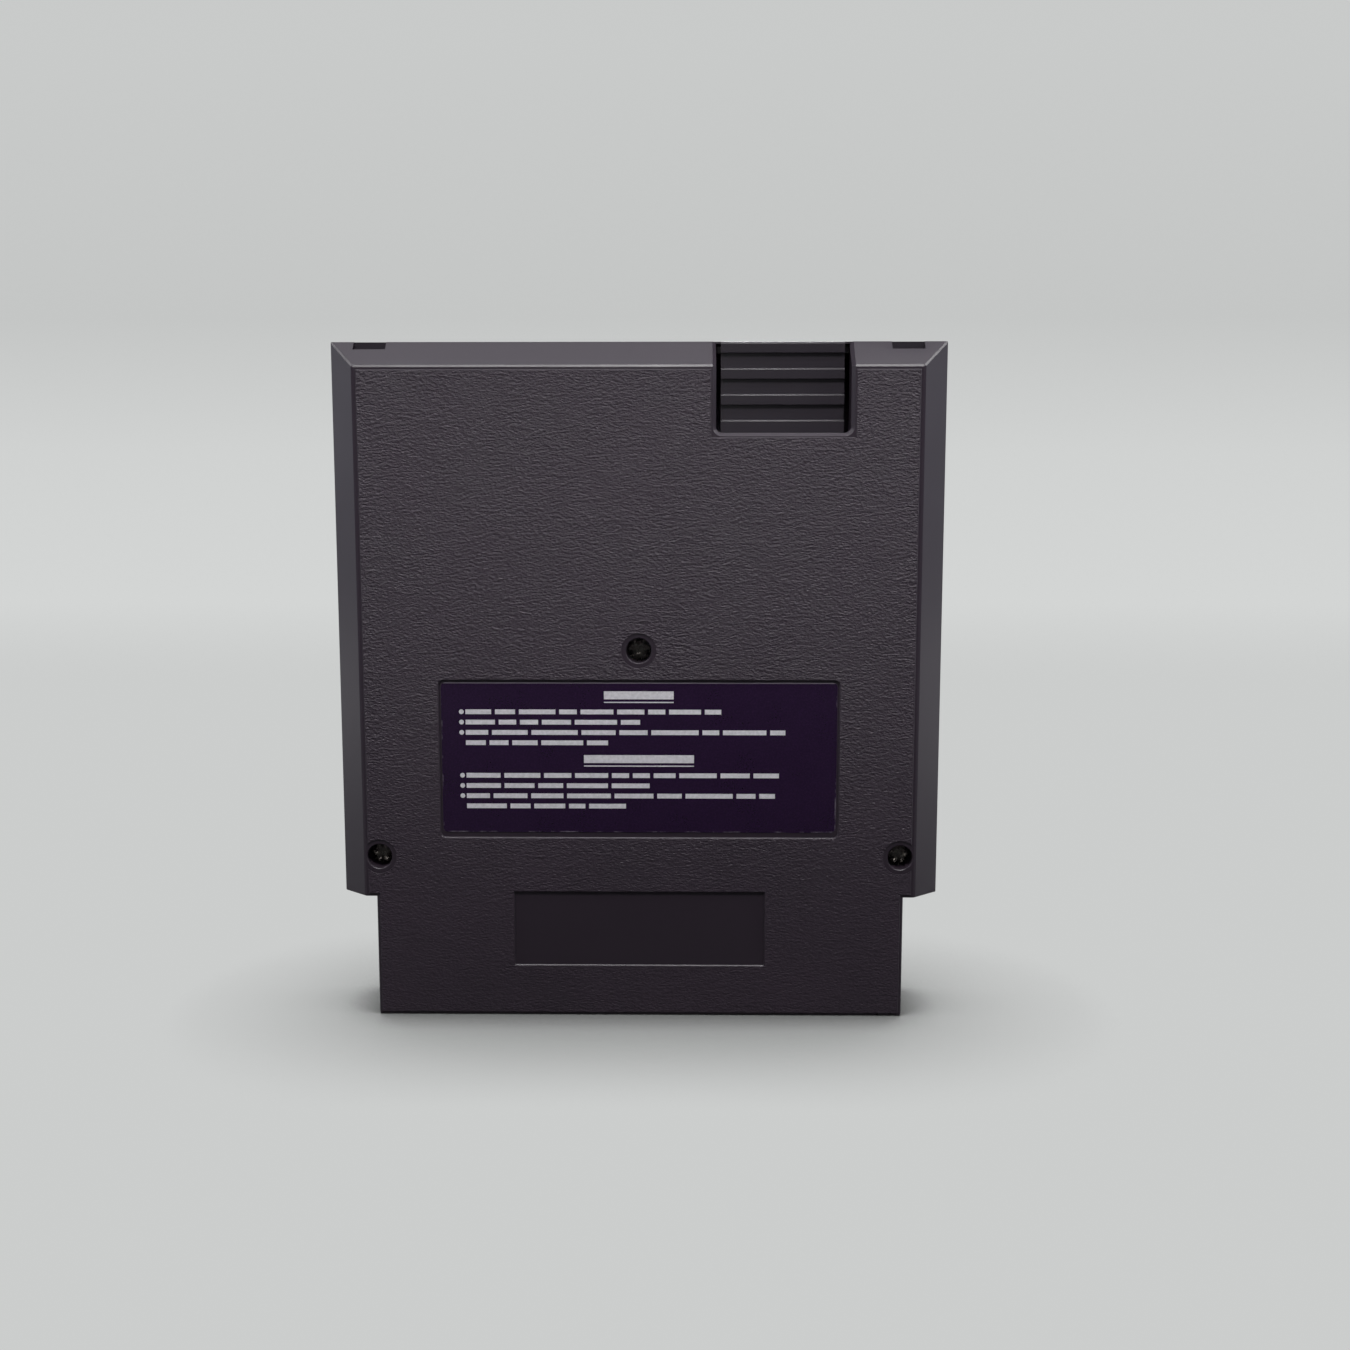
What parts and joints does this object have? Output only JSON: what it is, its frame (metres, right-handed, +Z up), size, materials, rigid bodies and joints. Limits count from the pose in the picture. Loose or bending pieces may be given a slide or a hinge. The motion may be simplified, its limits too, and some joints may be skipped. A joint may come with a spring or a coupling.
{
  "type": "game cartridge",
  "caption": "Moulded game cartridge with bevelled rear shell, ribbed thumb grip, blank sticker and a recessed edge connector that slides into a console.",
  "frame": {"origin": "middle of the lower rim that the cartridge stands on, at the connector mouth", "axes": "+Z up toward the thumb grip, rear face toward -Y, X across with the thumb grip on the +X half"},
  "size_m": [0.12, 0.017, 0.134],
  "materials": {
    "shell_plastic": "moulded, grained on the rear field, satin on the bevels",
    "label_film": "printed film, satin",
    "screw_steel": "plated, slightly dulled",
    "board_laminate": "green solder mask over laminate",
    "contact_plating": "gold plated",
    "chip_resin": "moulded resin",
    "pin_tin": "tinned",
    "block_coating": "dipped coating",
    "can_sleeve": "shrunk sleeve",
    "seal_rubber": "moulded rubber"
  },
  "bodies": {
    "root": {"rear_shell": "shell_plastic", "front_shell": "shell_plastic", "rear_label": "label_film", "shell_screws": "screw_steel", "circuit_board": "board_laminate", "rear_contacts": "contact_plating", "front_contacts": "contact_plating", "program_chip": "chip_resin", "picture_chip": "chip_resin", "key_chip": "chip_resin", "program_chip_leads": "pin_tin", "picture_chip_leads": "pin_tin", "key_chip_leads": "pin_tin", "program_capacitor": "block_coating", "picture_capacitor": "block_coating", "program_capacitor_leads": "pin_tin", "picture_capacitor_leads": "pin_tin", "supply_capacitor": "can_sleeve", "supply_capacitor_seal": "seal_rubber", "supply_capacitor_leads": "pin_tin"}
  },
  "joints": []
}
